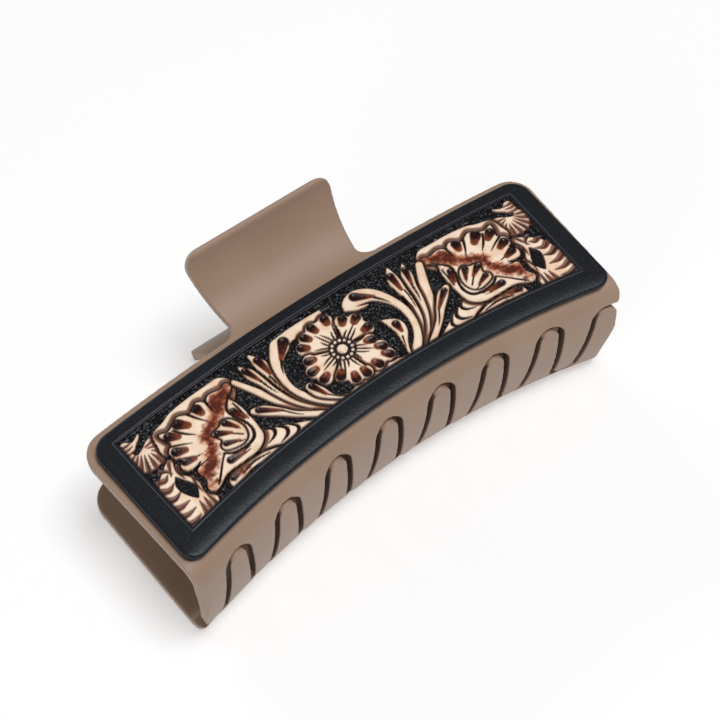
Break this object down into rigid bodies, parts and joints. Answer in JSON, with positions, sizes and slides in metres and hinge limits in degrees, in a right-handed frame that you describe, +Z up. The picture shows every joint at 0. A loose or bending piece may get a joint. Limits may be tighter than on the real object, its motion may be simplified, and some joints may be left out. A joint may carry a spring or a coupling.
{
  "type": "leather claw clip",
  "caption": "Rectangular sprung hair claw clip: two plastic jaws with interlocking teeth and thumb tabs, hinged on a pin, with a floral tooled leather cover on the upper jaw.",
  "frame": {"origin": "on the table under the middle of the closed clip, which lies on the front corners of its lower jaw and the tip of its lower thumb tab", "axes": "+X along the hinge pin, +Y from the teeth towards the thumb tabs, +Z up"},
  "size_m": [0.1044, 0.057, 0.0402],
  "materials": {
    "jaw_plastic": "soft-touch mocha plastic, satin",
    "tooled_leather": "black dyed border round a panel tooled in cream, red-brown and dark brown, satin",
    "steel_wire": "bright drawn wire"
  },
  "bodies": {
    "lower": {"lower_jaw": "jaw_plastic", "hinge_pin": "steel_wire", "spring": "steel_wire"},
    "upper": {"upper_jaw": "jaw_plastic", "leather_cover": "tooled_leather"}
  },
  "joints": [
    {"name": "jaw_hinge", "type": "hinge", "parent": "lower", "child": "upper", "pos_m": [0, 0.00293, 0.01725], "axis": [-1, 0, 0], "range_deg": [0, 50], "stiffness_Nm_per_rad": 0.08, "springref_deg": -60.16, "deforming": ["spring"]}
  ]
}
